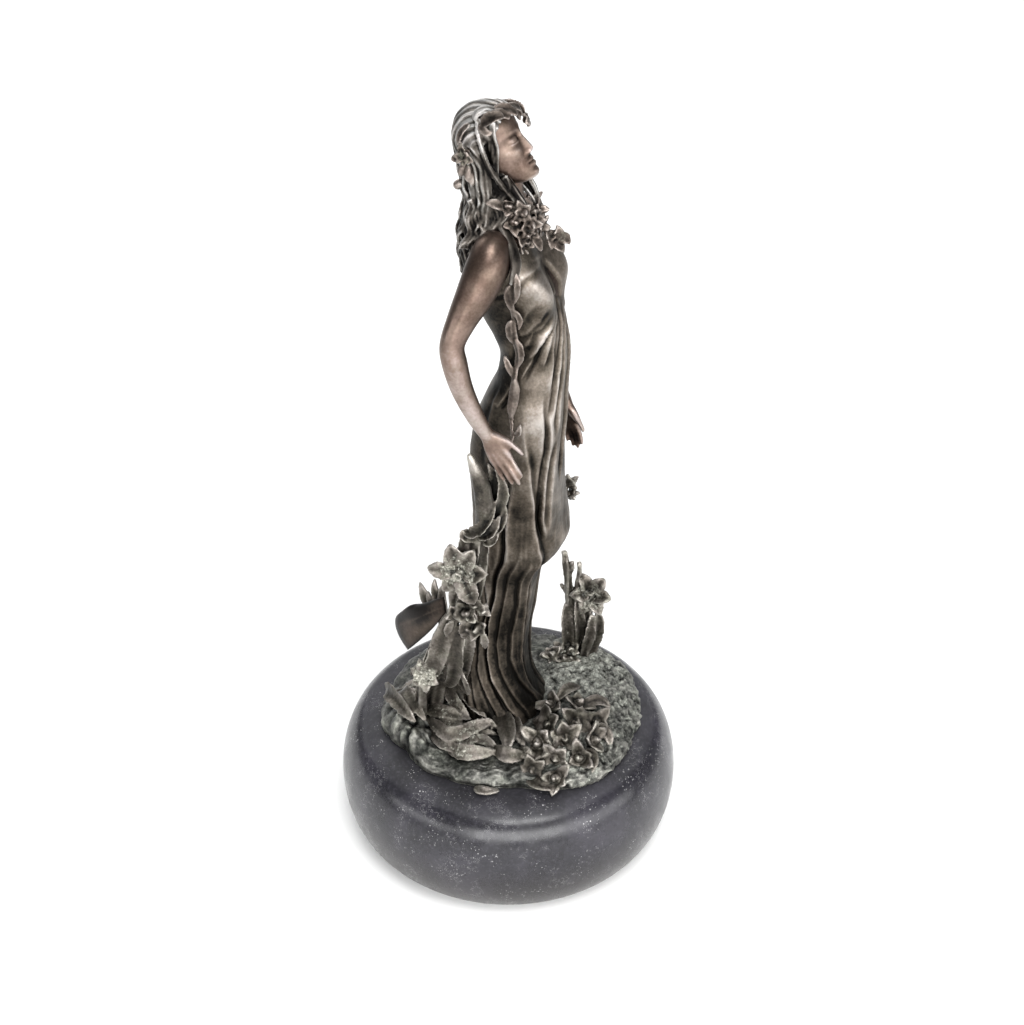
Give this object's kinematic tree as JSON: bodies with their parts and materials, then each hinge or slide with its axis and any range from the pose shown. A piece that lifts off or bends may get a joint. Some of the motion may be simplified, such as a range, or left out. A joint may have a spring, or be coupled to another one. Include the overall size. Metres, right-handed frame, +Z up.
{
  "type": "statuette on a round plinth",
  "caption": "Cast bronze statuette of a flower goddess in a clinging gown, standing among lilies on a round dark polished marble plinth.",
  "frame": {"origin": "middle of the plinth's underside", "axes": "+Z up; the figure faces -Y, so her right hand is on the -X side"},
  "size_m": [0.14, 0.14, 0.3199],
  "materials": {
    "dark_marble": "polished dark stone",
    "patinated_bronze": "dark brown patina, rubbed on the high parts"
  },
  "bodies": {
    "root": {"marble_plinth": "dark_marble", "bronze_figure": "patinated_bronze"}
  },
  "joints": []
}
